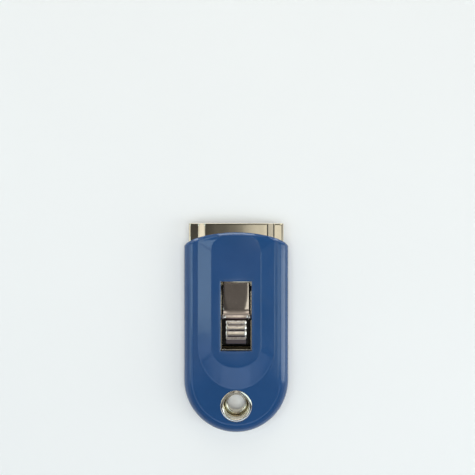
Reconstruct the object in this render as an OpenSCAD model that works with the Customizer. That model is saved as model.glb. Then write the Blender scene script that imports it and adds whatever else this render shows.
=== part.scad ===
// Retractable razor blade scraper: a plated two-piece steel case in a blue vinyl grip sleeve.
// A thumb button slides the blade carrier along the case, and the ears of a leaf spring lock it.
// The scraper lies on its back: +Z points out of its front face and +Y out of its blade mouth.
// The origin is the middle of its outline, on the back face.

/* [Blade] */
// Width of the blade
blade_w = 38.1; // [32:0.1:46]
// Height of the blade with its spine
blade_h = 19; // [17:0.1:23]
// Thickness of the blade
blade_t = 0.3; // [0.2:0.01:0.4]
// Height of the ground cutting edge
bevel_h = 1.1; // [0.6:0.1:1.6]
// Height of the folded spine
spine_h = 4.2; // [3.6:0.1:5]
// Thickness of the folded spine
spine_t = 1.3; // [1:0.05:1.6]
// How far each end of the spine reaches past the blade
spine_over = 0.25; // [0.1:0.05:0.5]
// Depth of the notch in each end of the blade
notch_d = 3.7; // [3:0.1:4.5]
// Height of that notch
notch_h = 3.2; // [2.6:0.1:3.8]
// Distance from the back of the spine to the middle of the notches
notch_from_back = 8.6; // [7.4:0.1:10]
// Width of the slot in the middle of the blade
slot_w = 3.5; // [2:0.1:4.5]
// Length of that slot
slot_l = 7.8; // [5:0.1:9.2]
// Distance from the mouth back to the cutting edge with the blade drawn in
blade_setback = 2.5; // [1.5:0.1:4]

/* [Carrier] */
// Thickness of the carrier plate
carrier_t = 0.8; // [0.6:0.05:1]
// Height of the runners under the carrier plate
runner_h = 0.8; // [0.6:0.05:1]
// Width of each runner
runner_w = 0.8; // [0.6:0.1:1.2]
// Distance from the back end of the button to the carrier's rear bar
bar_gap = 2; // [1:0.1:4]
// Width of the carrier's rear bar
bar_w = 3.8; // [2:0.1:5]
// Length of the carrier plate in front of the pegs
peg_land = 1; // [0.6:0.1:2]
// Distance from the leaf spring to the turned-up stops behind the spine
stop_gap = 3.4; // [2:0.1:4]
// Length of carrier plate behind the leaf spring's root
root_land = 1; // [0.5:0.1:2]
// Width of each stop
stop_w = 6; // [3:0.1:7]
// Height of the stops above the carrier plate
stop_h = 1.1; // [0.8:0.05:1.3]

/* [Thumb slide] */
// Travel of the blade
travel = 12.2; // [10:0.1:15]
// Thickness of the leaf spring
leaf_t = 0.6; // [0.4:0.05:0.7]
// Width of the leaf spring
leaf_w = 11.2; // [9.2:0.1:13.4]
// Length of the leaf spring under its rivets
leaf_root_l = 3.4; // [3:0.1:4]
// How far that length lies under the edge of the window
root_cover = 0.7; // [0.2:0.1:1]
// Length of each locking ear along the slide
ear_l = 1.8; // [1.2:0.1:2.2]
// Length of the bend up to the ears
ear_rise_l = 1.4; // [0.8:0.1:2]
// How far each ear reaches into the case
ear_hold = 0.35; // [0.25:0.05:0.5]
// How much narrower than the leaf spring the button is on each side
button_inset = 1.25; // [0.8:0.05:1.5]
// Length of the thumb button
button_l = 10.2; // [8.6:0.1:12.2]
// Length of the slope at the back of the button
heel_l = 2.7; // [1.8:0.1:3.4]
// Height of the button's low back edge above the leaf spring
heel_h = 2.4; // [1.6:0.1:3]
// Height of the button's ridges above the sleeve's front
button_proud = 0.8; // [0.2:0.05:1.4]
// Number of ridges across the button
ridge_n = 4; // [3:1:5]
// Depth of the grooves between the ridges
groove_d = 0.55; // [0.3:0.05:0.7]
// Width of the rail that closes the grooves on each side
rail_w = 0.6; // [0.4:0.05:1]
// Height of the ridges above the rails
rail_drop = 0.15; // [0.05:0.05:0.3]

/* [Case] */
// Thickness of the sheet steel
sheet_t = 0.7; // [0.5:0.05:0.85]
// Inside radius of the case's front edges
case_bend = 0.3; // [0.2:0.05:0.6]
// Height of the raised channel above the ledges beside it
channel_rise = 1.6; // [1.4:0.05:2]
// Width of the ledge on each side of the channel
ledge_w = 4.3; // [3.4:0.1:5.2]
// Width of the channel's sloping sides
channel_slope_w = 2.7; // [2:0.1:3.4]
// Distance from the channel's round end to the dish round the hang hole
channel_end_gap = 1.4; // [1:0.1:3]
// Length from the window to the centre of the hang hole
tail_l = 23.5; // [22:0.1:30]

/* [Thumb window] */
// Width of the metal edge that shows inside the window
window_rim = 0.5; // [0.4:0.05:0.8]
// Length of the window behind the button with the blade drawn in
heel_room = 2.2; // [1.8:0.1:4]

/* [Hang hole] */
// Diameter of the hole through the eyelet
bore_d = 7.2; // [6:0.1:8.4]
// Thickness of the eyelet's barrel
barrel_t = 0.5; // [0.4:0.05:0.6]
// Width of the eyelet's flange behind the case
flange_w = 1.4; // [1:0.1:2]
// Radius of the rolled lip's section
lip_r = 0.5; // [0.4:0.01:0.6]
// Thickness of the cup washer
cup_t = 0.5; // [0.4:0.05:0.6]
// How far the cup washer opens out on its way up
cup_flare = 0.5; // [0.2:0.05:0.8]
// Width of the cup washer's rim on the sleeve
cup_rim_w = 1; // [0.9:0.05:1.4]
// How far the dish in the case opens out on its way up
dish_flare = 1.6; // [1.3:0.1:2]
// Distance from the cup washer's rim to the round end of the sleeve
hole_margin = 5.85; // [5:0.05:8]

/* [Grip sleeve] */
// Thickness of the vinyl over the front and the back
sleeve_wall = 1.8; // [1.2:0.1:2.6]
// Thickness of the vinyl round the edge of the case
sleeve_side = 2.1; // [1.4:0.1:3]
// Radius of the sleeve's front edge
front_round = 3.4; // [2:0.1:4]
// Radius of the sleeve's back edge
back_round = 2.2; // [1:0.1:2.8]
// Distance from the mouth back to the middle of the sleeve's arched front edge
sleeve_setback = 3.9; // [2:0.1:6]
// Radius of the sleeve's arched front edge
sleeve_arch_r = 59; // [50:0.5:90]
// How far the sleeve's raised pad reaches past the channel under it
pad_margin = 0.6; // [0.4:0.05:1.2]
// Width of the pad's sloping sides
pad_slope_w = 6.2; // [5:0.1:7.4]

/* [Fits] */
// Gap between pieces that are seated together
seat_gap = 0.05; // [0.02:0.01:0.1]
// Gap between pieces that slide on each other
slide_gap = 0.2; // [0.15:0.01:0.25]
// Gap round rivets in their holes
rivet_gap = 0.02; // [0.01:0.01:0.05]
// Gap above the spine in the case
spine_room = 0.23; // [0.2:0.01:0.4]
// Gap beside each end of the spine in the case
case_room = 0.3; // [0.2:0.01:0.5]
// Gap between the carrier plate and the turned-up edge of the back shell
edge_room = 0.1; // [0.05:0.01:0.2]
// Gap beside the leaf spring in the case's window
leaf_room = 0.4; // [0.3:0.05:0.6]
// Gap round each peg in the blade's notch
peg_room = 0.25; // [0.1:0.05:0.4]
// Gap between the eyelet's lip and the cup washer
lip_room = 0.3; // [0.2:0.05:0.5]

/* [Hidden] */
$fn = 64;

// How far a cutting tool runs past the face that it cuts
cut = 1;

// Heights, from the back face up
back_z = sleeve_wall + seat_gap;
floor_z = back_z + sheet_t;
runner_z = floor_z + slide_gap;
plate_z = runner_z + runner_h;
deck_z = plate_z + carrier_t;
spine_z = deck_z + rivet_gap;
blade_z = spine_z + (spine_t - blade_t) / 2;
ledge_in_z = spine_z + spine_t + spine_room;
ledge_z = ledge_in_z + sheet_t;
channel_in_z = ledge_in_z + channel_rise;
channel_z = ledge_z + channel_rise;
border_z = ledge_z + seat_gap + sleeve_wall;
pad_z = border_z + channel_rise;
back_edge_z = plate_z - edge_room;

// Widths, as halves about the middle
spine_x = blade_w / 2 + spine_over;
case_in_x = spine_x + case_room;
case_x = case_in_x + sheet_t;
case_round = case_bend + sheet_t;
back_x = case_in_x - seat_gap;
back_in_x = back_x - sheet_t;
sleeve_x = case_x + seat_gap + sleeve_side;
carrier_x = case_in_x - 2 * slide_gap;
runner_x = back_in_x - 2 * slide_gap;
channel_foot_x = case_x - ledge_w;
channel_top_x = channel_foot_x - channel_slope_w;
channel_angle = atan2(channel_rise, channel_slope_w);
channel_slope_in = sheet_t * tan(channel_angle / 2);
pad_foot_x = channel_foot_x + pad_margin;
pad_top_x = pad_foot_x - pad_slope_w;
leaf_x = leaf_w / 2;
slot_x = leaf_x + leaf_room;
window_x = slot_x + window_rim;
ear_x = slot_x + ear_hold;
ear_slot_x = ear_x + slide_gap;
button_x = leaf_x - button_inset;
tab_x = button_x - 2 * slide_gap;
stop_x = leaf_x + stop_gap;
notch_x = blade_w / 2 - notch_d + notch_h / 2;
peg_r = notch_h / 2 - peg_room;

// Radii about the hang hole
bore_r = bore_d / 2;
barrel_r = bore_r + barrel_t;
barrel_hole_r = barrel_r + seat_gap;
flange_r = barrel_r + flange_w;
cup_floor_r = bore_r + 2 * lip_r + lip_room + cup_t / 2;
cup_mouth_r = cup_floor_r + cup_flare;
cup_rim_r = cup_mouth_r + cup_rim_w;
cup_hole_r = cup_mouth_r + cup_t;
dish_floor_r = cup_floor_r + cup_t + seat_gap;
dish_mouth_r = dish_floor_r + dish_flare;

// Lengths
slot_l_y = 2 * slide_gap + ear_rise_l + travel + ear_l + button_l + heel_room;
window_l = slot_l_y + 2 * window_rim;
head_l = blade_setback + blade_h + 2 * slide_gap + leaf_root_l - root_cover;
overall_l = head_l + window_l + tail_l + cup_rim_r + hole_margin;

// Places along the length, from the mouth back
mouth_y = overall_l / 2;
edge_y = mouth_y - blade_setback;
spine_y = edge_y - blade_h;
notch_y = spine_y + notch_from_back;
carrier_front_y = notch_y + peg_r + peg_land;
root_front_y = spine_y - 2 * slide_gap;
root_back_y = root_front_y - leaf_root_l;
window_front_y = mouth_y - head_l;
slot_front_y = window_front_y - window_rim;
ear_front_y = slot_front_y - slide_gap - ear_rise_l - travel;
ear_back_y = ear_front_y - ear_l;
button_front_y = ear_back_y - slide_gap;
button_back_y = button_front_y - button_l;
slot_back_y = slot_front_y - slot_l_y;
window_back_y = window_front_y - window_l;
bar_y = button_back_y - bar_gap;
carrier_back_y = bar_y - bar_w;
eyelet_y = window_back_y - tail_l;
end_y = -overall_l / 2;
round_y = end_y + sleeve_x;
channel_y = eyelet_y + dish_mouth_r + sheet_t + channel_end_gap + channel_foot_x;

// Middle line of the leaf spring's sheet: root, ramp, ears, wall, and the tab under the button
wall_y = ear_back_y + leaf_t / 2;
tab_back_y = button_back_y + leaf_t;
root_mid_z = deck_z + leaf_t / 2;
ramp_mid_z = channel_in_z - slide_gap - leaf_t / 2;
ear_mid_z = channel_in_z + (sheet_t - slide_gap) / 2;
tab_mid_z = channel_in_z - 2 * leaf_t;
tab_top_z = tab_mid_z + leaf_t / 2;
leaf_line = [
    [root_front_y, root_mid_z], [root_back_y, root_mid_z],
    [ear_front_y + ear_rise_l, ramp_mid_z], [ear_front_y, ear_mid_z],
    [wall_y, ear_mid_z], [wall_y, tab_mid_z], [tab_back_y, tab_mid_z]
];

// Thumb button
button_top_z = pad_z + button_proud;
button_body_z = button_top_z - groove_d;
ridge_pitch = (button_l - heel_l) / ridge_n;
ridge_r = (groove_d * groove_d + ridge_pitch * ridge_pitch / 4) / (2 * groove_d);
ridge_back_y = button_back_y + heel_l;

// Rivets
rivet_r = 0.8;
rivet_head_r = 1.25;
rivet_head_h = 0.5;
rivet_hole_r = rivet_r + rivet_gap;
leaf_rivet_x = leaf_x - rivet_head_r - 2 * slide_gap;
leaf_rivet_y = (root_front_y + root_back_y) / 2;
button_rivet_depth = 1.6;
button_rivet_ys = [button_front_y - button_l / 4, button_back_y + button_l / 4];

// Heights about the hang hole
flange_z = back_z - seat_gap - barrel_t;
dish_z = floor_z + sheet_t;
cup_mid_z = dish_z + seat_gap + cup_t / 2;
rim_mid_z = border_z + cup_t / 2;
lip_z = cup_mid_z + cup_t / 2 + seat_gap + lip_r;
cup_line = [
    [barrel_hole_r, cup_mid_z], [cup_floor_r, cup_mid_z], [cup_mouth_r, rim_mid_z], [cup_rim_r, rim_mid_z]
];

// A closed outline of thickness t along an open line of points
function unit(v) = v / norm(v);
function left_of(a, b) = let (d = unit(b - a)) [-d[1], d[0]];
function miter(a, b) = (a + b) / (1 + a * b);
function side_of(line, i) =
    let (last = len(line) - 1)
    i == 0 ? left_of(line[0], line[1]) :
    i == last ? left_of(line[last - 1], line[last]) :
    miter(left_of(line[i - 1], line[i]), left_of(line[i], line[i + 1]));
function strip(line, t) = concat(
    [for (i = [0 : len(line) - 1]) line[i] + side_of(line, i) * t / 2],
    [for (i = [len(line) - 1 : -1 : 0]) line[i] - side_of(line, i) * t / 2]);

// A box from its lowest to its highest corner
module block(low, high) {
    translate(low) cube(high - low);
}

// A box and its mirror image on the other side of the middle
module block_pair(low, high) {
    block(low, high);
    mirror([1, 0, 0]) block(low, high);
}

// A bar across the scraper whose side view is the flat shape given as a child
module across(half_w) {
    rotate([90, 0, 90]) linear_extrude(2 * half_w, center = true) children();
}

// Half of a slab's cross-section, with its low and high outer corners rounded
module half_section(x, z_low, z_high, r_low, r_high) {
    translate([0, z_low]) square([x - max(r_low, r_high), z_high - z_low]);
    translate([0, z_low + r_low]) square([x, z_high - z_low - r_low - r_high]);
    if (r_low > 0) {
        translate([0, z_low]) square([x - r_low, r_low]);
        translate([x - r_low, z_low + r_low]) circle(r_low);
    }
    if (r_high > 0) {
        translate([0, z_high - r_high]) square([x - r_high, r_high]);
        translate([x - r_high, z_high - r_high]) circle(r_high);
    }
}

// Half of a raised pad's cross-section: upright from z_low to z_foot, then sloping in to its top
module half_pad(foot_x, top_x, z_low, z_foot, z_high) {
    polygon([[0, z_low], [foot_x, z_low], [foot_x, z_foot], [top_x, z_high], [0, z_high]]);
}

// A bar of the half section given as a child, from y_front back to a round end about y_end
module round_ended(y_end, y_front) {
    translate([0, y_front, 0]) rotate([90, 0, 0]) linear_extrude(y_front - y_end) {
        children();
        mirror([1, 0]) children();
    }
    translate([0, y_end, 0]) rotate([0, 0, 180]) rotate_extrude(angle = 180) children();
}

// A ring about the hang hole whose half section is given as a child
module about_hole() {
    translate([0, eyelet_y, 0]) rotate_extrude() children();
}

// A cutter down the hang hole
module hole_cut(r, z_low, z_high) {
    translate([0, eyelet_y, z_low]) cylinder(r = r, h = z_high - z_low);
}

// An upright pin
module pin(x, y, r, z_low, z_high) {
    translate([x, y, z_low]) cylinder(r = r, h = z_high - z_low);
}

// The outer form of the case, grown by a gap
module case_form(gap, y_front) {
    round_ended(round_y, y_front)
        half_section(case_x + gap, back_z - gap, ledge_z + gap, 0, case_round + gap);
    round_ended(channel_y, y_front)
        half_pad(channel_foot_x + gap, channel_top_x + gap, ledge_in_z, ledge_z + gap, channel_z + gap);
}

// The hollow inside the front shell
module case_hollow() {
    round_ended(round_y, mouth_y + cut)
        half_section(case_in_x, back_z - cut, ledge_in_z, 0, case_round - sheet_t);
    round_ended(channel_y, mouth_y + cut)
        half_pad(channel_foot_x - channel_slope_in, channel_top_x - channel_slope_in,
            floor_z, ledge_in_z, channel_in_z);
}

// Half of the dish that the front shell is drawn down into round the hang hole
module dish_section(wall) {
    polygon([
        [0, dish_z - wall], [dish_floor_r + wall, dish_z - wall],
        [dish_mouth_r + wall, ledge_z], [0, ledge_z]
    ]);
}

module grip_sleeve() {
    color("royalblue") difference() {
        intersection() {
            union() {
                round_ended(round_y, mouth_y) half_section(sleeve_x, 0, border_z, back_round, front_round);
                round_ended(channel_y, mouth_y)
                    half_pad(pad_foot_x, pad_top_x, channel_z, border_z, pad_z);
            }
            translate([0, mouth_y - sleeve_setback - sleeve_arch_r, -cut])
                cylinder(r = sleeve_arch_r, h = pad_z + 2 * cut);
        }
        case_form(seat_gap, mouth_y + cut);
        block([-window_x, window_back_y, channel_in_z], [window_x, window_front_y, pad_z + cut]);
        hole_cut(cup_hole_r, ledge_in_z, border_z + cut);
        hole_cut(flange_r + seat_gap, -cut, floor_z);
    }
}

module front_shell() {
    color("silver") {
        difference() {
            case_form(0, mouth_y);
            case_hollow();
            block([-slot_x, slot_back_y, ledge_z], [slot_x, slot_front_y, channel_z + cut]);
            for (y = [ear_back_y, ear_back_y + travel])
                block([-ear_slot_x, y - slide_gap, ledge_z],
                    [ear_slot_x, y + ear_l + slide_gap, channel_z + cut]);
            hole_cut(dish_mouth_r, ledge_in_z - cut, ledge_z + cut);
        }
        about_hole() difference() {
            dish_section(sheet_t);
            dish_section(0);
            translate([0, back_z]) square([barrel_hole_r, ledge_z]);
        }
    }
}

module back_shell() {
    color("silver") difference() {
        round_ended(round_y, mouth_y) half_section(back_x, back_z, back_edge_z, 0, 0);
        round_ended(round_y, mouth_y + cut)
            half_section(back_in_x, floor_z, back_edge_z + cut, 0, 0);
        hole_cut(barrel_hole_r, back_z - cut, floor_z + cut);
    }
}

module cup_washer() {
    color("gainsboro") about_hole() polygon(strip(cup_line, cup_t));
}

module hang_eyelet() {
    color("gainsboro") about_hole() {
        translate([bore_r, flange_z]) square([barrel_t, lip_z - flange_z]);
        translate([bore_r, flange_z]) square([flange_r - bore_r, barrel_t]);
        translate([bore_r + lip_r, lip_z]) circle(lip_r);
    }
}

module blade_carrier() {
    color("lightsteelblue") difference() {
        union() {
            block([-carrier_x, carrier_back_y, plate_z], [carrier_x, carrier_front_y, deck_z]);
            block_pair([runner_x - runner_w, carrier_back_y, runner_z], [runner_x, carrier_front_y, deck_z]);
            block_pair([stop_x, spine_y - slide_gap - carrier_t, plate_z],
                [stop_x + stop_w, spine_y - slide_gap, deck_z + stop_h]);
        }
        block([-ear_slot_x, bar_y, plate_z - cut], [ear_slot_x, root_back_y - root_land, deck_z + cut]);
        for (side = [-1, 1]) {
            pin(side * notch_x, notch_y, rivet_hole_r, plate_z - cut, deck_z + cut);
            pin(side * leaf_rivet_x, leaf_rivet_y, rivet_hole_r, plate_z - cut, deck_z + cut);
        }
    }
}

module blade_pegs() {
    color("gainsboro") for (side = [-1, 1]) {
        pin(side * notch_x, notch_y, rivet_r, plate_z, deck_z);
        pin(side * notch_x, notch_y, peg_r, deck_z, blade_z + blade_t + 2 * slide_gap);
    }
}

module razor_blade() {
    inlay = (spine_t - blade_t) / 2;
    color("whitesmoke") difference() {
        across(blade_w / 2) polygon([
            [spine_y + inlay, blade_z], [edge_y - bevel_h, blade_z], [edge_y, blade_z + blade_t / 2],
            [edge_y - bevel_h, blade_z + blade_t], [spine_y + inlay, blade_z + blade_t]
        ]);
        for (side = [-1, 1]) pin(side * notch_x, notch_y, notch_h / 2, blade_z - cut, blade_z + cut);
        block_pair([notch_x, notch_y - notch_h / 2, blade_z - cut],
            [blade_w / 2 + cut, notch_y + notch_h / 2, blade_z + cut]);
        for (side = [-1, 1])
            pin(side * (slot_l - slot_w) / 2, notch_y, slot_w / 2, blade_z - cut, blade_z + cut);
        block([(slot_w - slot_l) / 2, notch_y - slot_w / 2, blade_z - cut],
            [(slot_l - slot_w) / 2, notch_y + slot_w / 2, blade_z + cut]);
    }
}

module blade_spine() {
    inlay = (spine_t - blade_t) / 2;
    color("lightsteelblue") across(spine_x) difference() {
        union() {
            translate([spine_y + spine_t / 2, spine_z]) square([spine_h - spine_t / 2, spine_t]);
            translate([spine_y + spine_t / 2, spine_z + spine_t / 2]) circle(spine_t / 2);
        }
        translate([spine_y + inlay - rivet_gap, blade_z - rivet_gap])
            square([spine_h, blade_t + 2 * rivet_gap]);
    }
}

module lock_leaf() {
    color("lightgrey") difference() {
        across(ear_x) polygon(strip(leaf_line, leaf_t));
        block_pair([leaf_x, ear_front_y, deck_z - cut], [ear_x + cut, root_front_y + cut, channel_z + cut]);
        block_pair([tab_x, tab_back_y - cut, deck_z],
            [ear_x + cut, wall_y + leaf_t / 2, ear_mid_z - leaf_t / 2]);
        for (side = [-1, 1])
            pin(side * leaf_rivet_x, leaf_rivet_y, rivet_hole_r, deck_z - cut, deck_z + leaf_t + cut);
        for (y = button_rivet_ys) pin(0, y, rivet_hole_r, tab_mid_z - cut, tab_mid_z + cut);
    }
}

module leaf_rivets() {
    head_z = deck_z + leaf_t;
    color("gainsboro") for (side = [-1, 1]) {
        pin(side * leaf_rivet_x, leaf_rivet_y, rivet_r, plate_z, head_z);
        pin(side * leaf_rivet_x, leaf_rivet_y, rivet_head_r, head_z, head_z + rivet_head_h);
    }
}

module thumb_button() {
    color("silver") difference() {
        union() {
            across(button_x) polygon([
                [button_front_y, tab_top_z], [button_front_y, button_body_z], [ridge_back_y, button_body_z],
                [button_back_y, tab_top_z + heel_h], [button_back_y, tab_top_z]
            ]);
            block_pair([button_x - rail_w, ridge_back_y, tab_top_z],
                [button_x, button_front_y, button_top_z - rail_drop]);
            for (i = [0 : ridge_n - 1])
                across(button_x) intersection() {
                    translate([button_front_y - (i + 0.5) * ridge_pitch, button_top_z - ridge_r])
                        circle(ridge_r);
                    translate([button_front_y - (i + 1) * ridge_pitch, button_body_z - groove_d])
                        square([ridge_pitch, 2 * groove_d]);
                }
        }
        for (y = button_rivet_ys)
            pin(0, y, rivet_hole_r, tab_top_z - cut, tab_top_z + button_rivet_depth + rivet_gap);
    }
}

module button_rivets() {
    tab_low_z = tab_mid_z - leaf_t / 2;
    color("gainsboro") for (y = button_rivet_ys) {
        pin(0, y, rivet_head_r, tab_low_z - rivet_head_h, tab_low_z);
        pin(0, y, rivet_r, tab_low_z, tab_top_z + button_rivet_depth);
    }
}

grip_sleeve();
front_shell();
back_shell();
cup_washer();
hang_eyelet();
blade_carrier();
blade_pegs();
razor_blade();
blade_spine();
lock_leaf();
leaf_rivets();
thumb_button();
button_rivets();
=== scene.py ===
import math

import bmesh
import bpy
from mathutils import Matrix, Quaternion, Vector


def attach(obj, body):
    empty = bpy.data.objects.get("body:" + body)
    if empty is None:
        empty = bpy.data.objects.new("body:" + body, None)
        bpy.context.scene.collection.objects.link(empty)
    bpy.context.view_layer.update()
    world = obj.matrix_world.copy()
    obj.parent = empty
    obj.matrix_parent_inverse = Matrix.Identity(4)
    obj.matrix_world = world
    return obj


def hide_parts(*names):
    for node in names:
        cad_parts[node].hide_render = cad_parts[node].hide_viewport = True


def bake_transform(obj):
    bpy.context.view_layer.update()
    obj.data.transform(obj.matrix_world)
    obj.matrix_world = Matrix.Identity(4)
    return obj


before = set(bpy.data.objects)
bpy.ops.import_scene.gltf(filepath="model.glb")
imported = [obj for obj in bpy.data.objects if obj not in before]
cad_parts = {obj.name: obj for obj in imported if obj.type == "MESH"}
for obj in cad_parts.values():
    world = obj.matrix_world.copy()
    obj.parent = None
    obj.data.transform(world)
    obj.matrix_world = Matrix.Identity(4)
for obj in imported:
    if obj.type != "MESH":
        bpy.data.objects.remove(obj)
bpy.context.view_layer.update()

# Sizes are in millimetres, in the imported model's frame, and MM turns them into metres.
MM = 0.001

# Points nearer than the first become one. The second is the slack in what lies within an opening.
WELD_GAP = 0.002
SAME_PLACE = 0.01

# Corners this near to straight aren't rounded, and a rounded corner uses at most this share of its sides.
STRAIGHT = 0.001
CORNER_SHARE = 0.49

# Case
CASE_X = 20.3
CASE_ROUND = 1.0
CASE_BACK_Z = 1.85
LEDGE_Z = 6.6
CHANNEL_RISE = 1.6
CHANNEL_FOOT_X = 16.0
CHANNEL_SLOPE_W = 2.7
CHANNEL_END_Y = -7.0
CREASE = 0.4
SHEET_T = 0.7
MOUTH_Y = 44.9
MOUTH_EDGE = 0.3
MOUTH_ROWS_L = 10
SLOT_X = 6.0
SLOT_BACK_Y = -8.4
SLOT_FRONT_Y = 19.8
SLOT_EDGE = 0.08
NOTCH_X = 6.55
NOTCHES_Y = [(4.0, 6.2), (16.2, 18.4)]
CASE_STEPS = 8
CASE_END_STEPS = 48

# Hollow in the sleeve: the case with a little room
SEAT_GAP = 0.05
HOLLOW_X = CASE_X + SEAT_GAP
HOLLOW_BACK_Z = CASE_BACK_Z - SEAT_GAP
HOLLOW_LEDGE_Z = LEDGE_Z + SEAT_GAP
HOLLOW_ROUND = CASE_ROUND + SEAT_GAP
HOLLOW_TOP_Z = HOLLOW_LEDGE_Z + CHANNEL_RISE
HOLLOW_FOOT_X = CHANNEL_FOOT_X + SEAT_GAP
HOLLOW_SLOPE_W = CHANNEL_SLOPE_W

# Grip sleeve
SLEEVE_X = 22.45
ROUND_Y = SLEEVE_X - MOUTH_Y
BORDER_Z = 8.45
FRONT_ROUND = 4.9
BACK_ROUND = 2.2
FRONT_STEPS = 12
BACK_STEPS = 8
END_STEPS = 60

# Raised pad on the sleeve's front, with the places where its slope bends at the top and at the foot
PAD_RISE = CHANNEL_RISE
PAD_Z = BORDER_Z + PAD_RISE
PAD_FOOT_X = 16.25
PAD_SLOPE_W = 5.85
PAD_END_FOOT = 18.6
PAD_END_SLOPE = 10.2
PAD_FOOT_SOFT = 0.045
PAD_TOP_SOFT = 0.035
PAD_CORNER_X = 5.0
PAD_CORNER_Y = 6.3
PAD_CORNER_IN = 1.5
PAD_TOP_BEND = (9.8, 10.9)
PAD_FOOT_BEND = (15.6, 16.8)

# Arched front edge of the sleeve and the lip along it
ARCH_R = 59.0
ARCH_Y = -18.0
ARCH_ROWS_Y = 30.0
ARCH_ROWS = 18
LIP_L = 1.7
LIP_EDGE = 0.3
LIP_TILT = 40
LIP_FACET = (0.85, 1.4)
LIP_DEPTH_RATIO = 2.2
LIP_STEPS = 8

# Window in the sleeve
WINDOW_X = 6.5
WINDOW_BACK_Y = -8.9
WINDOW_FRONT_Y = 20.3
WINDOW_ROUND = 0.45
WINDOW_STEPS = 6

# Hang hole
EYELET_Y = -32.4
SLEEVE_HOLE_R = 6.3
SLEEVE_BACK_HOLE_R = 5.55
DISH = [(4.15, 2.55), (6.4, 2.55), (8.0, 6.6), (7.3, 6.6), (5.7, 3.25), (4.15, 3.25)]
DISH_HOLE_R = 7.65
CUP_T = 0.5
CUP_LINE = [(4.15, 3.55), (5.15, 3.55), (5.65, 8.7), (6.65, 8.7)]
CUP_ROUNDS = [0.1, 0.9, 0.6, 0.2, 0.1, 1.05, 0.4, 0.1]
CUP_RIM_FALL = 0.16
BORE_R = 3.6
BARREL_R = 4.1
BARREL_ROUND = 0.45
FLANGE_R = 5.5
FLANGE_Z = 1.3
FLANGE_TOP_Z = 1.8
FLANGE_ROUND = 0.24
ROLL_Z = 4.35
ROLL_R = 0.5
ROLL_TURNS = range(-60, 181, 15)

# Lock leaf
LEAF_T = 0.6
LEAF_EDGE = 0.24
LEAF_X = 5.6
LEAF_LINE = [
    (23.0, 4.65), (19.6, 4.65), (8.6, 6.77), (7.2, 7.2),
    (6.0, 7.75), (4.5, 7.75), (4.5, 6.3), (-5.6, 6.3),
]
LEAF_BENDS = [0, 9.0, 12.0, 9.0, 0.3, 0.45, 0.45, 0]
LEAF_BEND_STEPS = 12
LEAF_STEP = 0.8
TAB_X = 3.95
TAB_FRONT_Y = 5.1
TAB_TOP_Z = 7.4

# Ears of the leaf: their reach, their outline and the dome on each
EAR_X = 6.35
EAR_FRONT_Y = 6.0
EAR_BACK_Y = 4.2
EAR_FADE = 0.35
EAR_SPREAD = 0.1
EAR_BULGE = (2.6, 2.2)
EAR_LOW_Z = 7.45
EAR_DOME_X = 5.4
EAR_DOME_Y = 5.1
EAR_DOME_R = 0.95
EAR_DOME_H = 0.3
EAR_DOME_POWER = 0.8
EAR_ROWS_Y = (4, 8)
EAR_STEP = 0.2

# Curled edges of the leaf: a steep border, and a gentle band inside it that widens towards the ears
CURL_ENDS_Y = (6.6, 21)
CURL_FADES = (1.2, 2)
CURL_EDGE = 0.115
CURL_EDGE_W = 0.55
CURL_EDGE_SOFT = 0.08
CURL_INSIDE = 0.07
CURL_INSIDE_W = 0.3
CURL_INSIDE_SOFT = 0.8
CURL_WIDER = 1.9
CURL_WIDER_Y = 16.4
CURL_WIDER_L = 9.4
CURL_WIDER_POWER = 1.7

# Thumb button, with each groove's place, half width and depth
BUTTON_X = 4.35
BUTTON_FRONT_Y = 4.0
BUTTON_BACK_Y = -6.2
BUTTON_LOW_Z = 6.6
BUTTON_TOP_Z = 10.85
BUTTON_ROUND = 0.4
BUTTON_STEPS = 6
BUTTON_STEP = 0.08
BUTTON_SHARE_STEP = 0.05
CORNER_FALL = 1.4
GROOVES = [(2.2, 0.46, 0.5), (0.0, 0.3, 0.75), (-2.6, 0.32, 0.75)]
GROOVES_Y = [y for y, _, _ in GROOVES]
RIDGE_BACK_Y = -3.85
RIDGE_CROWN = 0.06
LAST_RIDGE_FALL = 0.44
LAST_RIDGE_FLAT = 0.3
PINCH = 0.18
PINCH_HALF = 0.45
HEEL_PINCH = 0.2
RAIL_W = 0.42
RAIL_SLOPE_W = 0.25
RAIL_DROP = 0.04
RAIL_GROOVE_SHARE = 0.08
HEEL_TOP_Z = 10.3
HEEL_Z = 9.0

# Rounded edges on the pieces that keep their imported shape
EDGE_ANGLE = 20
EDGE_SEGMENTS = 3

# Materials: the range that most of a noise lies in, and the tones and the gloss spread over it
NOISE_RANGE = (0.3, 0.7)
VINYL_TONES = [(0.0140, 0.063, 0.183), (0.0180, 0.072, 0.206)]
VINYL_ROUGH = (0.10, 0.14)
METAL_ROUGH_SPREAD = (0.8, 1.25)
FLOOR_TONES = [(0.87, 0.87, 0.87), (0.89, 0.89, 0.89)]

# Floor
FLOOR_HALF = 3000
FLOOR_DROP = 0.02
FLOOR_LIFT = 0.06
FAR_LIFT = 0.72
FAR_START = 180
FAR_END = 850

# Lamps: the heights that level ones hang at, and their colours
BOX_Z = 560
CARD_Z = 700
WARM = (1.0, 0.96, 0.86)
DAY = (0.74, 0.94, 1.0)
PALE = (0.85, 0.97, 1.0)
SKY = (0.58, 0.72, 1.0)
CREAM = (0.98, 1.0, 0.88)
HEAD = (0.86, 0.93, 1.0)
HAZE = (1.0, 0.7, 0.95)
FILL = (1.0, 0.97, 0.92)

# Cards over the mouth, each with its left edge and its level, up to the last edge
MOUTH_CARDS_Y = 52
MOUTH_CARDS = [
    (-44, 0.06), (-16, 0.12), (-2, 0.20), (11.5, 0.43), (21, 0.56), (30, 0.65), (49, 0.85), (135, 0),
]

# Cards in an arc over the leaf, each with its lean in degrees and its level, up to the last lean
RISE_AIM = (0, 20, 8)
RISE_R = 620
RISE_CARDS = [(22, 0.1), (27, 0.2), (32, 0.32), (37, 0.45), (44, 1.0), (72, 0)]

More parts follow.
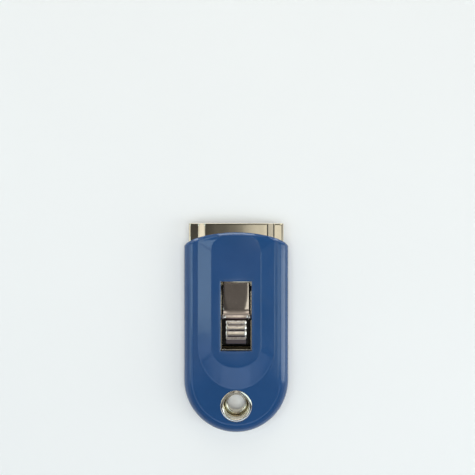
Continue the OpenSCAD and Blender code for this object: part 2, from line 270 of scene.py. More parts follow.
# World: its levels, and the shares of a direction, up or along the part, between which they change
WORLD_SIDE = 0.66
WORLD_TOP = 0.075
WORLD_END = 0.45
WORLD_RISE = (0.42, 0.72)
WORLD_ENDS = (0.15, 0.75)
WORLD_COLOUR = (*FILL, 1)
BACKDROP_COLOUR = (0.93, 0.95, 0.95, 1)
BACKDROP_EDGE = (0.06, 0.14)

# Camera, with its focal length in pixels of the photograph's frame
IMAGE = 475
FOCUS_PIXELS = 489.5
SENSOR = 36
CAMERA_PLACE = (0.57, 38.78, 215)


def mix(a, b, t):
    return a + (b - a) * t


def clamp(t):
    return min(1.0, max(0.0, t))


def smooth(t):
    t = clamp(t)
    return t * t * (3 - 2 * t)


def span(a, b, step):
    """Evenly spread values from a to b, about a step apart, with both ends."""
    n = max(1, round(abs(b - a) / step))
    return [mix(a, b, i / n) for i in range(n + 1)]


def quarter(steps):
    """The angles of a quarter turn in even steps, without its start."""
    return [math.pi / 2 * i / steps for i in range(1, steps + 1)]


def hinge(d, soft):
    """Nothing below zero and d above it, with the bend rounded from soft before to soft after it."""
    if abs(d) < soft:
        return (d + soft) ** 2 / (4 * soft)
    return max(0.0, d)


def eased(t, low_soft, high_soft):
    """A straight ramp from 0 to 1 whose two bends are rounded."""
    return hinge(t, low_soft) - hinge(t - 1, high_soft)


def solved(outside, low, high, halvings=30):
    """The place between low and high where outside turns from false to true."""
    for _ in range(halvings):
        t = (low + high) / 2
        if outside(t):
            high = t
        else:
            low = t
    return low


def rounded(line, radii, steps, closed=False):
    """A flat line of points with each corner turned into an arc of its radius."""
    n = len(line)
    out = []
    for i, p in enumerate(line):
        p = Vector(p)
        if radii[i] <= 0 or (not closed and i in (0, n - 1)):
            out.append((p.x, p.y))
            continue
        before = Vector(line[i - 1]) - p
        after = Vector(line[(i + 1) % n]) - p
        corner = before.angle(after)
        if corner > math.pi - STRAIGHT:
            out.append((p.x, p.y))
            continue
        most = CORNER_SHARE * min(before.length, after.length)
        reach = min(radii[i] / math.tan(corner / 2), most)
        radius = reach * math.tan(corner / 2)
        u = before.normalized()
        v = after.normalized()
        centre = p + (u + v).normalized() * (radius / math.sin(corner / 2))
        start = p + u * reach - centre
        end = p + v * reach - centre
        turn = start.angle(end)
        for k in range(steps + 1):
            t = k / steps
            arm = (start * math.sin((1 - t) * turn) + end * math.sin(t * turn)) / math.sin(turn)
            out.append((centre.x + arm.x, centre.y + arm.y))
    return out


def make(name, points, faces, material, body=None, slot=None, nodes=(), crease=40):
    """A mesh from points in millimetres. A piece of the part rides on a body of the frame."""
    mesh = bpy.data.meshes.new(name)
    bm = bmesh.new()
    verts = [bm.verts.new((p[0] * MM, p[1] * MM, p[2] * MM)) for p in points]
    for face in faces:
        if len(set(face)) > 2:
            bm.faces.new([verts[i] for i in face])
    loose = [v for v in bm.verts if not v.link_faces]
    bmesh.ops.delete(bm, geom=loose, context="VERTS")
    bmesh.ops.remove_doubles(bm, verts=bm.verts, dist=WELD_GAP * MM)
    bmesh.ops.dissolve_degenerate(bm, edges=bm.edges, dist=WELD_GAP * MM)
    bmesh.ops.recalc_face_normals(bm, faces=bm.faces)
    for face in bm.faces:
        face.smooth = True
    bm.to_mesh(mesh)
    bm.free()
    mesh.set_sharp_from_angle(angle=math.radians(crease))
    mesh.materials.append(material)
    obj = bpy.data.objects.new(name, mesh)
    bpy.context.scene.collection.objects.link(obj)
    if body:
        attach(obj, body)
    if nodes:
        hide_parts(*nodes)
    return obj


def grid_faces(rows):
    """Quads between neighbouring rows of point numbers."""
    faces = []
    for a, b in zip(rows, rows[1:]):
        for k in range(len(a) - 1):
            faces.append((a[k], a[k + 1], b[k + 1], b[k]))
    return faces


def revolve(profile, y, turns=96):
    """A ring about an upright axis at y, from a closed profile of radius and height."""
    points = []
    rows = []
    for i in range(turns):
        angle = math.tau * i / turns
        row = []
        for r, z in profile:
            row.append(len(points))
            points.append((r * math.cos(angle), y + r * math.sin(angle), z))
        rows.append(row + row[:1])
    return points, grid_faces(rows + rows[:1])


def loft(sections):
    """A solid through closed sections of equal point counts, with flat ends."""
    points = []
    rows = []
    for section in sections:
        row = list(range(len(points), len(points) + len(section)))
        points.extend(section)
        rows.append(row + row[:1])
    faces = grid_faces(rows)
    faces.append(tuple(rows[0][:-1]))
    faces.append(tuple(rows[-1][:-1]))
    return points, faces


class Sheet:
    """Two skins of points, outside and inside, over the same rows of places."""

    def __init__(self):
        self.points = []
        self.faces = []
        self.outer = []
        self.inner = []

    def add(self, p):
        self.points.append(tuple(p))
        return len(self.points) - 1

    def row(self, outside, inside):
        self.outer.append([self.add(p) for p in outside])
        self.inner.append([self.add(p) for p in inside])

    def corners(self, i, k):
        return [(i, k), (i, k + 1), (i + 1, k + 1), (i + 1, k)]

    def near(self, y, radius):
        """Places whose four corners all lie within a radius of an upright axis at y."""
        found = set()
        for i in range(len(self.outer) - 1):
            for k in range(len(self.outer[0]) - 1):
                ends = [self.points[self.outer[a][b]] for a, b in self.corners(i, k)]
                if max(math.hypot(p[0], p[1] - y) for p in ends) < radius:
                    found.add((i, k))
        return found

    def cover(self, opened):
        """Faces over both skins, apart from the opened places."""
        for i in range(len(self.outer) - 1):
            for k in range(len(self.outer[0]) - 1):
                if (i, k) not in opened:
                    for skin in (self.outer, self.inner):
                        self.faces.append(tuple(skin[a][b] for a, b in self.corners(i, k)))

    def rim(self, opened):
        """Edges round an opening: two ends, and the place across the opening from the first."""
        for i, k in sorted(opened):
            for a, b, across, beside in (
                ((i, k), (i, k + 1), (i + 1, k), (i - 1, k)),
                ((i + 1, k), (i + 1, k + 1), (i, k), (i + 1, k)),
                ((i, k), (i + 1, k), (i, k + 1), (i, k - 1)),
                ((i, k + 1), (i + 1, k + 1), (i, k), (i, k + 1)),
            ):
                if beside not in opened and 0 <= beside[1] < len(self.outer[0]) - 1:
                    yield a, b, across

    def bore(self, opened, y, radius):
        """Moves the rim of an opening onto a circle and joins the two skins there."""
        for a, b, _ in self.rim(opened):
            self.faces.append((
                self.outer[a[0]][a[1]], self.outer[b[0]][b[1]],
                self.inner[b[0]][b[1]], self.inner[a[0]][a[1]],
            ))
            for i, k in (a, b):
                for skin in (self.outer, self.inner):
                    px, py, pz = self.points[skin[i][k]]
                    scale = radius / math.hypot(px, py - y)
                    self.points[skin[i][k]] = (px * scale, y + (py - y) * scale, pz)

    def ring(self, places, ways, profile):
        """Rows of points from the outer skin to the inner one. Each step of the profile has a reach along
        the way, a least stand-off from the inner skin, and a share from that up to the whole wall."""
        rows = [[self.outer[i][k] for i, k in places]]
        for reach, low, share in profile:
            row = []
            for (i, k), way in zip(places, ways):
                root = Vector(self.points[self.inner[i][k]])
                wall = Vector(self.points[self.outer[i][k]]) - root
                stand = mix(low, wall.length, share)
                row.append(self.add(root + wall.normalized() * stand + Vector((*way, 0)) * reach))
            rows.append(row)
        rows.append([self.inner[i][k] for i, k in places])
        return rows

    def edge(self, opened, profile):
        """Joins the two skins round an opening with straight sides."""
        ways = {}
        edges = []
        for a, b, across in self.rim(opened):
            p = self.points[self.outer[a[0]][a[1]]]
            q = self.points[self.outer[across[0]][across[1]]]
            dx = q[0] - p[0]
            dy = q[1] - p[1]
            way = (math.copysign(1, dx), 0) if abs(dx) > abs(dy) else (0, math.copysign(1, dy))
            edges.append((a, b))
            for end in (a, b):
                ways.setdefault(end, set()).add(way)
        places = sorted(ways)
        sums = [(sum(w[0] for w in ways[p]), sum(w[1] for w in ways[p])) for p in places]
        rows = self.ring(places, sums, profile)
        number = {p: n for n, p in enumerate(places)}
        for a, b in edges:
            for upper, lower in zip(rows, rows[1:]):
                m = number[a]
                n = number[b]
                self.faces.append((upper[m], upper[n], lower[n], lower[m]))

    def front(self, i, profile, ways=None):
        """Joins the two skins along an end row, reaching forward. Gives the rows of points."""
        places = [(i, k) for k in range(len(self.outer[0]))]
        rows = self.ring(places, ways or [(0, 1)] * len(places), profile)
        self.faces += grid_faces(rows)
        return rows


def tour(ys, turns, arch_n=0):
    """Slices along a round-ended form: down its left side, round its end and up its right side."""
    sides = [("y", y) for y in ys] + [("arch", (i + 1) / arch_n) for i in range(arch_n)]
    left = [(kind, value, -1) for kind, value in reversed(sides)]
    end = [("turn", math.pi * (1 + i / turns), 0) for i in range(1, turns)]
    return left + end + [(kind, value, 1) for kind, value in sides]


def stepped(stops):
    """Values through stops, each with the step to keep up to the next."""
    values = [stops[0][0]]
    for (low, step), (high, _) in zip(stops, stops[1:]):
        values += span(low, high, step)[1:]
    return values


# Materials


class Nodes:
    """The node tree of a material or a world, with short calls to add and join nodes."""

    def __init__(self, owner, shader="Principled BSDF", place="Object"):
        owner.use_nodes = True
        self.owner = owner
        self.tree = owner.node_tree
        self.shader = self.tree.nodes[shader]
        self.place = self.add("ShaderNodeTexCoord").outputs[place]

    def add(self, kind, **values):
        node = self.tree.nodes.new(kind)
        for key, value in values.items():
            setattr(node, key, value)
        return node

    def join(self, source, target):
        self.tree.links.new(source, target)

    def stretched(self, scale):
        node = self.add("ShaderNodeMapping")
        node.inputs["Scale"].default_value = scale
        self.join(self.place, node.inputs["Vector"])
        return node.outputs["Vector"]

    def noise(self, scale, detail, roughness=0.5, vector=None):
        node = self.add("ShaderNodeTexNoise")
        node.inputs["Scale"].default_value = scale
        node.inputs["Detail"].default_value = detail
        node.inputs["Roughness"].default_value = roughness
        self.join(vector or self.place, node.inputs["Vector"])
        return node.outputs["Fac"]

    def between(self, value, low, high, new_low, new_high, interpolation="LINEAR"):
        node = self.add("ShaderNodeMapRange", interpolation_type=interpolation)
        node.inputs["From Min"].default_value = low
        node.inputs["From Max"].default_value = high
        node.inputs["To Min"].default_value = new_low
        node.inputs["To Max"].default_value = new_high
        self.join(value, node.inputs["Value"])
        return node.outputs["Result"]

    def tones(self, noise, low, high):
        """A colour between two, spread over the range of a noise."""
        node = self.add("ShaderNodeValToRGB")
        for stop, position, colour in zip(node.color_ramp.elements, NOISE_RANGE, (low, high)):
            stop.position = position
            stop.color = (*colour, 1)
        self.join(noise, node.inputs["Fac"])
        return node.outputs["Color"]

    def axis(self, name):
        node = self.add("ShaderNodeSeparateXYZ")
        self.join(self.place, node.inputs["Vector"])
        return node.outputs[name]

    def math(self, operation, *values):
        node = self.add("ShaderNodeMath", operation=operation)
        for socket, value in zip(node.inputs, values):
            self.join(value, socket)
        return node.outputs[0]

    def rays(self):
        """Whether a ray comes from the camera, and whether it comes off a mirror or through glass."""
        kinds = self.add("ShaderNodeLightPath").outputs
        mirrored = self.math("MAXIMUM", kinds["Is Glossy Ray"], kinds["Is Transmission Ray"])
        return kinds["Is Camera Ray"], mirrored

    def mixed(self, share, below, above):
        """A colour socket mixed with a fixed colour."""
        node = self.add("ShaderNodeMix", data_type="RGBA")
        colours = [i for i in node.inputs if i.type == "RGBA"]
        colours[1].default_value = (*above, 1)
        self.join(share, node.inputs["Factor"])
        self.join(below, colours[0])
        return next(o for o in node.outputs if o.type == "RGBA")

    def bump(self, height, strength, distance, under=None):
        node = self.add("ShaderNodeBump")
        node.inputs["Strength"].default_value = strength
        node.inputs["Distance"].default_value = distance * MM
        self.join(height, node.inputs["Height"])
        if under:
            self.join(under, node.inputs["Normal"])
        return node.outputs["Normal"]

    def set(self, **values):
        for key, value in values.items():
            self.shader.inputs[key.replace("_", " ")].default_value = value


def vinyl():
    """Blue vinyl: a slightly uneven tone and gloss, a soft wave and a fine grain."""
    m = Nodes(bpy.data.materials.new("blue_vinyl"))
    m.join(m.tones(m.noise(70, 4, 0.55), *VINYL_TONES), m.shader.inputs["Base Color"])
    m.join(m.between(m.noise(180, 5), *NOISE_RANGE, *VINYL_ROUGH), m.shader.inputs["Roughness"])
    wave = m.bump(m.noise(130, 2), 0.45, 0.1)
    m.join(m.bump(m.noise(1800, 2), 0.1, 0.01, wave), m.shader.inputs["Normal"])
    m.set(Metallic=0.0, IOR=1.5)
    return m.owner


def plated(name, light, dark, rough, wave=0.03, grain=(900, 900, 900), painted_shade=None):
    """Plated sheet metal: a slightly uneven tone and gloss, a shallow wave and a fine drawn grain.
    An optional painted shade names an axis, two places on it in millimetres and the darker tone that the
    metal fades to there, where shade falls."""
    m = Nodes(bpy.data.materials.new(name))
    tone = m.tones(m.noise(140, 4, 0.6), dark, light)
    # Painted shade: the tone fades to a darker one between two places along an axis.
    if painted_shade:
        axis, start, end, colour = painted_shade
        tone = m.mixed(m.between(m.axis(axis), start * MM, end * MM, 0, 1), tone, colour)
    m.join(tone, m.shader.inputs["Base Color"])
    fine = m.noise(1.0, 4, 0.6, m.stretched(grain))
    spread = [rough * share for share in METAL_ROUGH_SPREAD]
    m.join(m.between(fine, *NOISE_RANGE, *spread), m.shader.inputs["Roughness"])
    shallow = m.bump(m.noise(60, 2), 0.4, wave)
    m.join(m.bump(fine, 0.08, 0.004, shallow), m.shader.inputs["Normal"])
    m.set(Metallic=1.0)
    return m.owner


VINYL = vinyl()
CASE_METAL = plated("nickel_plate", (0.80, 0.745, 0.61), (0.72, 0.665, 0.535), 0.065)
# Painted shade: the back plate fades to near black further into the case, away from the mouth, where it
# lies in shade.
BACK_METAL = plated(
    "back_plate", (0.74, 0.70, 0.62), (0.66, 0.62, 0.54), 0.25,
    painted_shade=("Y", 36.0, 27.0, (0.03, 0.028, 0.026)),
)
EYELET_METAL = plated("eyelet_nickel", (0.80, 0.755, 0.64), (0.70, 0.65, 0.54), 0.1)
# Painted shade: the button fades to a dark tone in its grooves, down its heel and down its sides.
BUTTON_METAL = plated(
    "button_nickel", (0.80, 0.74, 0.66), (0.70, 0.645, 0.57), 0.11,
    painted_shade=("Z", 10.45, 10.15, (0.25, 0.22, 0.245)),
)
LEAF_METAL = plated("spring_steel", (0.64, 0.56, 0.52), (0.56, 0.49, 0.45), 0.11, grain=(1200, 60, 1200))
CARRIER_METAL = plated("carrier_zinc", (0.34, 0.26, 0.15), (0.25, 0.19, 0.11), 0.36)
RIVET_METAL = plated("rivet_steel", (0.60, 0.58, 0.54), (0.50, 0.48, 0.45), 0.25)
BLADE_METAL = plated(
    "blade_steel", (0.46, 0.46, 0.455), (0.38, 0.38, 0.38), 0.20, wave=0.01, grain=(60, 2600, 2600)
)
SPINE_METAL = plated("spine_steel", (0.44, 0.45, 0.46), (0.36, 0.37, 0.38), 0.28)


# Grip sleeve


def pad_height(x, y):
    """Height of the raised pad over the border of the sleeve's front."""
    x = abs(x)
    if y < CHANNEL_END_Y:

        def outside(t):
            wide = PAD_FOOT_X - PAD_SLOPE_W * t
            long = PAD_END_FOOT - PAD_END_SLOPE * t
            return (x / wide) ** 2 + ((y - CHANNEL_END_Y) / long) ** 2 > 1

    else:
        back = arch(x) - y - PAD_CORNER_IN

        def outside(t):
            wide = PAD_FOOT_X - PAD_SLOPE_W * t
            corner = clamp(t)
            dx = x - wide + PAD_CORNER_X * corner
            dy = PAD_CORNER_Y * corner - back
            if dx <= 0 or dy <= 0 or corner <= 0:
                return x > wide
            return math.hypot(dx / PAD_CORNER_X, dy / PAD_CORNER_Y) > corner

    if outside(-PAD_FOOT_SOFT):
        return 0.0
    share = solved(outside, -PAD_FOOT_SOFT, 1 + PAD_TOP_SOFT)
    return PAD_RISE * eased(share, PAD_FOOT_SOFT, PAD_TOP_SOFT)


def hollow_height(x, y):
    """Height of the hollow's front, over the channel of the case."""
    away = abs(x) if y >= CHANNEL_END_Y else math.hypot(x, y - CHANNEL_END_Y)
    rise = clamp((HOLLOW_FOOT_X - away) / HOLLOW_SLOPE_W)
    return mix(HOLLOW_LEDGE_Z, HOLLOW_TOP_Z, rise)


def arch(a):
    """Where the sleeve's arched front edge lies, at a distance from the middle."""
    return ARCH_Y + math.sqrt(ARCH_R**2 - min(a, SLEEVE_X) ** 2)


def sleeve_section():
    """Places round half a slice: distance from the middle and height, outside and in the hollow.
    A height of None follows the front's form."""
    flat_x = SLEEVE_X - FRONT_ROUND
    stops = [
        (0, 0.7), (WINDOW_X + WINDOW_ROUND, 0.5), (PAD_TOP_BEND[0], 0.1), (PAD_TOP_BEND[1], 0.4),
        (HOLLOW_FOOT_X - HOLLOW_SLOPE_W, 0.4), (PAD_FOOT_BEND[0], 0.1), (HOLLOW_FOOT_X, 0.1),
        (PAD_FOOT_BEND[1], 0.2), (flat_x, 0),
    ]
    places = [(a, None, a, None) for a in stepped(stops)]
    for turn in quarter(FRONT_STEPS):
        places.append((
            flat_x + FRONT_ROUND * math.sin(turn),
            BORDER_Z - FRONT_ROUND * (1 - math.cos(turn)),
            flat_x + (HOLLOW_X - flat_x) * math.sin(turn),
            HOLLOW_LEDGE_Z - HOLLOW_ROUND * (1 - math.cos(turn)),
        ))
    side_top = BORDER_Z - FRONT_ROUND
    hollow_top = HOLLOW_LEDGE_Z - HOLLOW_ROUND
    for t in (1 / 3, 2 / 3, 1):
        places.append((
            SLEEVE_X, mix(side_top, BACK_ROUND, t), HOLLOW_X, mix(hollow_top, HOLLOW_BACK_Z, t)
        ))
    back_x = SLEEVE_X - BACK_ROUND
    for i, turn in enumerate(quarter(BACK_STEPS), 1):
        places.append((
            SLEEVE_X - BACK_ROUND * (1 - math.cos(turn)),
            BACK_ROUND * (1 - math.sin(turn)),
            mix(HOLLOW_X, back_x, i / BACK_STEPS),
            HOLLOW_BACK_Z,
        ))
    for a in span(back_x, 0, 0.6)[1:]:
        places.append((a, 0.0, a, HOLLOW_BACK_Z))
    return places


def lip_share(a):
    """Share of the lip's full size where the vinyl is thinner, so that its facet keeps its tilt."""
    a = min(a, PAD_FOOT_X)
    y = arch(a) - LIP_L
    wall = BORDER_Z + pad_height(a, y) - hollow_height(a, y)
    return clamp((wall - LIP_EDGE) / (PAD_Z - HOLLOW_TOP_Z - LIP_EDGE))


def place_on(row, a, a_arch):
    """Where a slice lies at a distance from the middle."""
    kind, value, side = row
    if kind == "turn":
        return a * math.cos(value), ROUND_Y + a * math.sin(value)
    if kind == "y":
        return side * a, value
    return side * a, mix(ARCH_ROWS_Y, arch(a_arch) - LIP_L * lip_share(a_arch), value)


def within(rows, i, low, high):
    """Whether a slice and the next one lie between two places along the part."""
    low -= SAME_PLACE
    high += SAME_PLACE
    return all(kind == "y" and low < value < high for kind, value, _ in rows[i:i + 2])


def lip_profile():
    """Steps over the sleeve's lip: a soft bend, a narrow facet and a tight bend down to its edge."""
    start, end = LIP_FACET
    facet = math.tan(math.radians(LIP_TILT))
    line = [(u, facet * u * u / (2 * start)) for u in span(0, start, 0.12)]
    line += [(u, facet * (u - start / 2)) for u in span(start, end, 0.14)[1:]]
    reach = LIP_L - end
    drop = line[-1][1]
    deep = reach * LIP_DEPTH_RATIO
    first = math.atan(facet * reach / deep)
    for i in range(1, LIP_STEPS + 1):
        turn = mix(first, math.pi / 2, i / LIP_STEPS)
        u = (math.sin(turn) - math.sin(first)) / (1 - math.sin(first))
        line.append((end + reach * u, drop + deep * (math.cos(first) - math.cos(turn))))
    low = line[-1][1]
    return [(u, LIP_EDGE, 1 - d / low) for u, d in line[1:]]


def grip_sleeve():
    """A vinyl sleeve round the case, with a window, two holes and an open, arched front."""
    section = sleeve_section()
    low = WINDOW_BACK_Y - WINDOW_ROUND
    high = WINDOW_FRONT_Y + WINDOW_ROUND
    ys = stepped([(ROUND_Y, 0.6), (low, 1.2), (high, 1.0), (ARCH_ROWS_Y, 0)])
    rows = tour(ys, END_STEPS, ARCH_ROWS)
    sheet = Sheet()
    for row in rows:
        outside = []
        inside = []
        for a, z, a_in, z_in in section:
            x, y = place_on(row, a, a)
            outside.append((x, y, BORDER_Z + pad_height(x, y) if z is None else z))
            x, y = place_on(row, a_in, a)
            inside.append((x, y, hollow_height(x, y) if z is None else z_in))
        sheet.row(outside, inside)

    edge = WINDOW_X + WINDOW_ROUND + SAME_PLACE
    window = set()
    front_n = sum(1 for place in section if place[1] is None)
    for i in range(len(rows) - 1):
        if within(rows, i, low, high):
            window |= {(i, k) for k in range(front_n - 1) if section[k + 1][0] < edge}
    hole = {(i, k) for i, k in sheet.near(EYELET_Y, SLEEVE_HOLE_R) if k < front_n}
    back_hole = {(i, k) for i, k in sheet.near(EYELET_Y, SLEEVE_BACK_HOLE_R) if k > front_n}
    sheet.cover(window | hole | back_hole)
    sheet.bore(hole, EYELET_Y, SLEEVE_HOLE_R)
    sheet.bore(back_hole, EYELET_Y, SLEEVE_BACK_HOLE_R)

    wall = PAD_Z - HOLLOW_TOP_Z
    fillet = []
    for turn in quarter(WINDOW_STEPS):
        fillet.append((WINDOW_ROUND * math.sin(turn), 0, 1 - WINDOW_ROUND * (1 - math.cos(turn)) / wall))
    sheet.edge(window, fillet + [(WINDOW_ROUND, 0, 0)])

    lip = lip_profile() + [(LIP_L, 0, 0)]
    shares = [(0, lip_share(place[0])) for place in section]
    for i in (0, len(rows) - 1):
        sheet.front(i, lip, shares)
    make(
        "grip_sleeve_skin", sheet.points, sheet.faces, VINYL,
        "case", "grip_vinyl", ["grip_sleeve"], crease=50,
    )


grip_sleeve()


# Case


def case_height(x, y):
    """Height of the case's front: the raised channel between two ledges."""
    away = abs(x) if y >= CHANNEL_END_Y else math.hypot(x, y - CHANNEL_END_Y)
    soft = CREASE / CHANNEL_SLOPE_W
    rise = eased((CHANNEL_FOOT_X - away) / CHANNEL_SLOPE_W, soft, soft)
    return LEDGE_Z + CHANNEL_RISE * rise


def front_shell():
    """The case's front: a sheet with a slot, turned down at its sides, and a dish for the hang hole.
    Half a slice has distances from the middle, then turns round its edge and heights down its side."""
    flat_x = CASE_X - CASE_ROUND
    side_top = LEDGE_Z - CASE_ROUND
    top_x = CHANNEL_FOOT_X - CHANNEL_SLOPE_W
    section = [(a, None) for a in stepped([
        (0, 1.2), (SLOT_X + SLOT_EDGE, 0.6), (NOTCH_X + SLOT_EDGE, 1.2), (top_x - CREASE, 0.1),
        (top_x + CREASE, 0.5), (CHANNEL_FOOT_X - CREASE, 0.1), (CHANNEL_FOOT_X + CREASE, 0.7),
        (flat_x, 0),
    ])]
    front_n = len(section)
    section += [("turn", turn) for turn in quarter(CASE_STEPS)]
    section += [("side", mix(side_top, CASE_BACK_Z, t)) for t in (0.5, 1)]

    slot = [(SLOT_X, SLOT_BACK_Y, SLOT_FRONT_Y)] + [(NOTCH_X, *ends) for ends in NOTCHES_Y]
    slot = [(x + SLOT_EDGE, low - SLOT_EDGE, high + SLOT_EDGE) for x, low, high in slot]
    stops = sorted({y for _, low, high in slot for y in (low, high)})
    ys = [(ROUND_Y, 1.0)] + [(y, 1.2) for y in stops]
    ys += [(MOUTH_Y - MOUTH_ROWS_L, 0.8), (MOUTH_Y - MOUTH_EDGE, 0)]
    rows = tour(stepped(ys), CASE_END_STEPS)

    sheet = Sheet()
    for row in rows:
        outside = []
        inside = []
        for kind, value in section:
            if value is None:
                x, y = place_on(row, kind, 0)
                z = case_height(x, y)
                outside.append((x, y, z))
                inside.append((x, y, z - SHEET_T))
                continue
            for line, gap in ((outside, 0), (inside, SHEET_T)):
                r = CASE_ROUND - gap
                if kind == "turn":
                    a = flat_x + r * math.sin(value)
                    z = side_top + r * math.cos(value)
                else:
                    a = CASE_X - gap
                    z = value
                line.append((*place_on(row, a, 0), z))
        sheet.row(outside, inside)

    opened = set()
    for x, low, high in slot:
        for i in range(len(rows) - 1):
            if within(rows, i, low, high):
                opened |= {(i, k) for k in range(front_n - 1) if section[k + 1][0] < x + SAME_PLACE}
    hole = {(i, k) for i, k in sheet.near(EYELET_Y, DISH_HOLE_R) if k < front_n}
    sheet.cover(opened | hole)
    sheet.bore(hole, EYELET_Y, DISH_HOLE_R)

    turns = [math.pi * i / CASE_STEPS for i in range(1, CASE_STEPS)]
    sheet.edge(opened, [(SLOT_EDGE * math.sin(a), 0, (1 + math.cos(a)) / 2) for a in turns])
    last = len(section) - 1
    for i in (0, len(rows) - 1):
        ends = sheet.front(i, [(MOUTH_EDGE * math.sin(a), 0, (1 + math.cos(a)) / 2) for a in turns])
        sheet.faces.append(tuple(row[last] for row in ends))
    foot = [[skin[i][last] for i in range(len(rows))] for skin in (sheet.outer, sheet.inner)]
    sheet.faces += grid_faces(foot)
    obj = make(
        "front_shell_skin", sheet.points, sheet.faces, CASE_METAL,
        "case", "case_plate", ["front_shell"], crease=35,
    )
    obj.modifiers.new("normals", "WEIGHTED_NORMAL").keep_sharp = True
    make("front_shell_dish", *revolve(DISH, EYELET_Y), CASE_METAL, "case", "case_plate", ["front_shell"])


front_shell()


# Hang hole


def strip(line, t):
    """A closed outline of thickness t along an open line."""
    sides = []
    for i, p in enumerate(line):
        normals = []
        for a, b in ((i - 1, i), (i, i + 1)):
            if a >= 0 and b < len(line):
                d = (Vector(line[b]) - Vector(line[a])).normalized()
                normals.append(Vector((-d.y, d.x)))
        if len(normals) == 2:
            side = (normals[0] + normals[1]) / (1 + normals[0].dot(normals[1]))
        else:
            side = normals[0]
        sides.append(side * t / 2)
    up = [(p[0] + s.x, p[1] + s.y) for p, s in zip(line, sides)]
    down = [(p[0] - s.x, p[1] - s.y) for p, s in zip(line, sides)]
    return up + down[::-1]


def cup_washer():
    """A drawn cup, whose rim falls a little towards its outer edge."""
    outline = strip(CUP_LINE, CUP_T)
    rim = len(CUP_LINE) - 1
    outline[rim] = (outline[rim][0], outline[rim][1] - CUP_RIM_FALL)
    ring = revolve(rounded(outline, CUP_ROUNDS, 8, closed=True), EYELET_Y)
    make("cup_washer_ring", *ring, EYELET_METAL, "case", "eyelet_plate", ["cup_washer"])


def hang_eyelet():
    """A barrel that turns out into a flange at its foot and rolls over into a lip at its top."""
    profile = [(BORE_R, FLANGE_TOP_Z)]
    for a in [0] + quarter(6):
        profile.append((
            BORE_R + BARREL_ROUND * (1 - math.cos(a)), FLANGE_Z + BARREL_ROUND * (1 - math.sin(a))
        ))
    flange = [(BORE_R, FLANGE_Z), (FLANGE_R, FLANGE_Z), (FLANGE_R, FLANGE_TOP_Z), (BARREL_R, FLANGE_TOP_Z)]
    profile += rounded(flange, [0, FLANGE_ROUND, FLANGE_ROUND, 0], 8)[1:]
    for a in map(math.radians, ROLL_TURNS):
        profile.append((BORE_R + ROLL_R + ROLL_R * math.cos(a), ROLL_Z + ROLL_R * math.sin(a)))
    ring = revolve(profile, EYELET_Y)
    make("hang_eyelet_ring", *ring, EYELET_METAL, "case", "eyelet_plate", ["hang_eyelet"])


cup_washer()
hang_eyelet()


# Lock leaf


def leaf_half_width(y, z):
    """Half the leaf's width: even along its ramp, wider at its ears and narrow at its tab."""
    if z < TAB_TOP_Z and y < TAB_FRONT_Y:
        return TAB_X
    if y > EAR_FRONT_Y + EAR_FADE:
        return LEAF_X
    middle = (EAR_FRONT_Y + EAR_BACK_Y) / 2
    half = (EAR_FRONT_Y - EAR_BACK_Y) / 2 + EAR_SPREAD
    along, across = EAR_BULGE
    bulge = max(0.0, 1 - abs((y - middle) / half) ** along) ** (1 / across)
    return mix(LEAF_X, EAR_X, bulge)


def leaf_lift(x, y, z):
    """How far the leaf's surface stands off its middle line: domed ears and curled edges."""
    x = abs(x)
    back, front = CURL_ENDS_Y
    if z > EAR_LOW_Z and y < back:
        away = math.hypot((x - EAR_DOME_X) / EAR_DOME_R, (y - EAR_DOME_Y) / EAR_DOME_R)
        return EAR_DOME_H * max(0.0, 1 - away**2) ** EAR_DOME_POWER
    if y > back:
        wider = max(0.0, (CURL_WIDER_Y - y) / CURL_WIDER_L) ** CURL_WIDER_POWER
        wide = CURL_EDGE_W + CURL_INSIDE_W + CURL_WIDER * wider
        drop = CURL_INSIDE * hinge(x - LEAF_X + wide, CURL_INSIDE_SOFT)
        drop += (CURL_EDGE - CURL_INSIDE) * hinge(x - LEAF_X + CURL_EDGE_W, CURL_EDGE_SOFT)
        return -drop * smooth((y - back) / CURL_FADES[0]) * smooth((front - y) / CURL_FADES[1])
    return 0.0


def leaf_section(y, z, ny, nz, half):
    """A slice across the leaf, with rounded edges. Its points lie closer together towards them."""
    r = LEAF_EDGE
    t = LEAF_T / 2
    flat = half - r
    shares = [0, 0.15, 0.3] + span(0.4, 1, 0.025)
    upper = [(-flat * k, t) for k in reversed(shares[1:])] + [(flat * k, t) for k in shares]
    right = [(flat + r * math.sin(a), t - r + r * math.cos(a)) for a in quarter(4)[:-1]]
    right.append((half, t - r))
    right += [(x, -n) for x, n in reversed(right)]
    lower = [(x, -n) for x, n in reversed(upper)]
    left = [(-x, n) for x, n in reversed(right)]
    section = []
    for x, n in upper + right + lower + left:
        n += leaf_lift(x, y, z)
        section.append((x, y + ny * n, z + nz * n))
    return section


def lock_leaf():
    """A strip along a bent line. One end rides on the carriage and the other on the thumb button."""
    line = rounded(LEAF_LINE, LEAF_BENDS, LEAF_BEND_STEPS)
    low, high = EAR_ROWS_Y
    fine = [line[0]]
    for a, b in zip(line, line[1:]):
        near_ears = min(a[0], b[0]) < high and max(a[0], b[0]) > low
        n = max(1, math.ceil(math.dist(a, b) / (EAR_STEP if near_ears else LEAF_STEP)))
        fine += [(mix(a[0], b[0], i / n), mix(a[1], b[1], i / n)) for i in range(1, n + 1)]
    sections = []
    for i, (y, z) in enumerate(fine):
        a = Vector(fine[max(0, i - 1)])
        b = Vector(fine[min(len(fine) - 1, i + 1)])
        d = (b - a).normalized()
        sections.append(leaf_section(y, z, d.y, -d.x, leaf_half_width(y, z)))
    obj = make("lock_leaf_strip", *loft(sections), LEAF_METAL, crease=50)
    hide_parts("lock_leaf")
    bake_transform(obj)


lock_leaf()


# Thumb button


def groove(y):
    """Depth of the grooves at a place along the button."""
    return max(depth * math.exp(-(((y - g) / half) ** 4)) for g, half, depth in GROOVES)


def button_side(y):
    """Half the button's width, drawn in a little beside each groove and at the heel."""
    places = GROOVES_Y + [RIDGE_BACK_Y - HEEL_PINCH]
    return BUTTON_X - PINCH * max(math.exp(-(((y - p) / PINCH_HALF) ** 2)) for p in places)


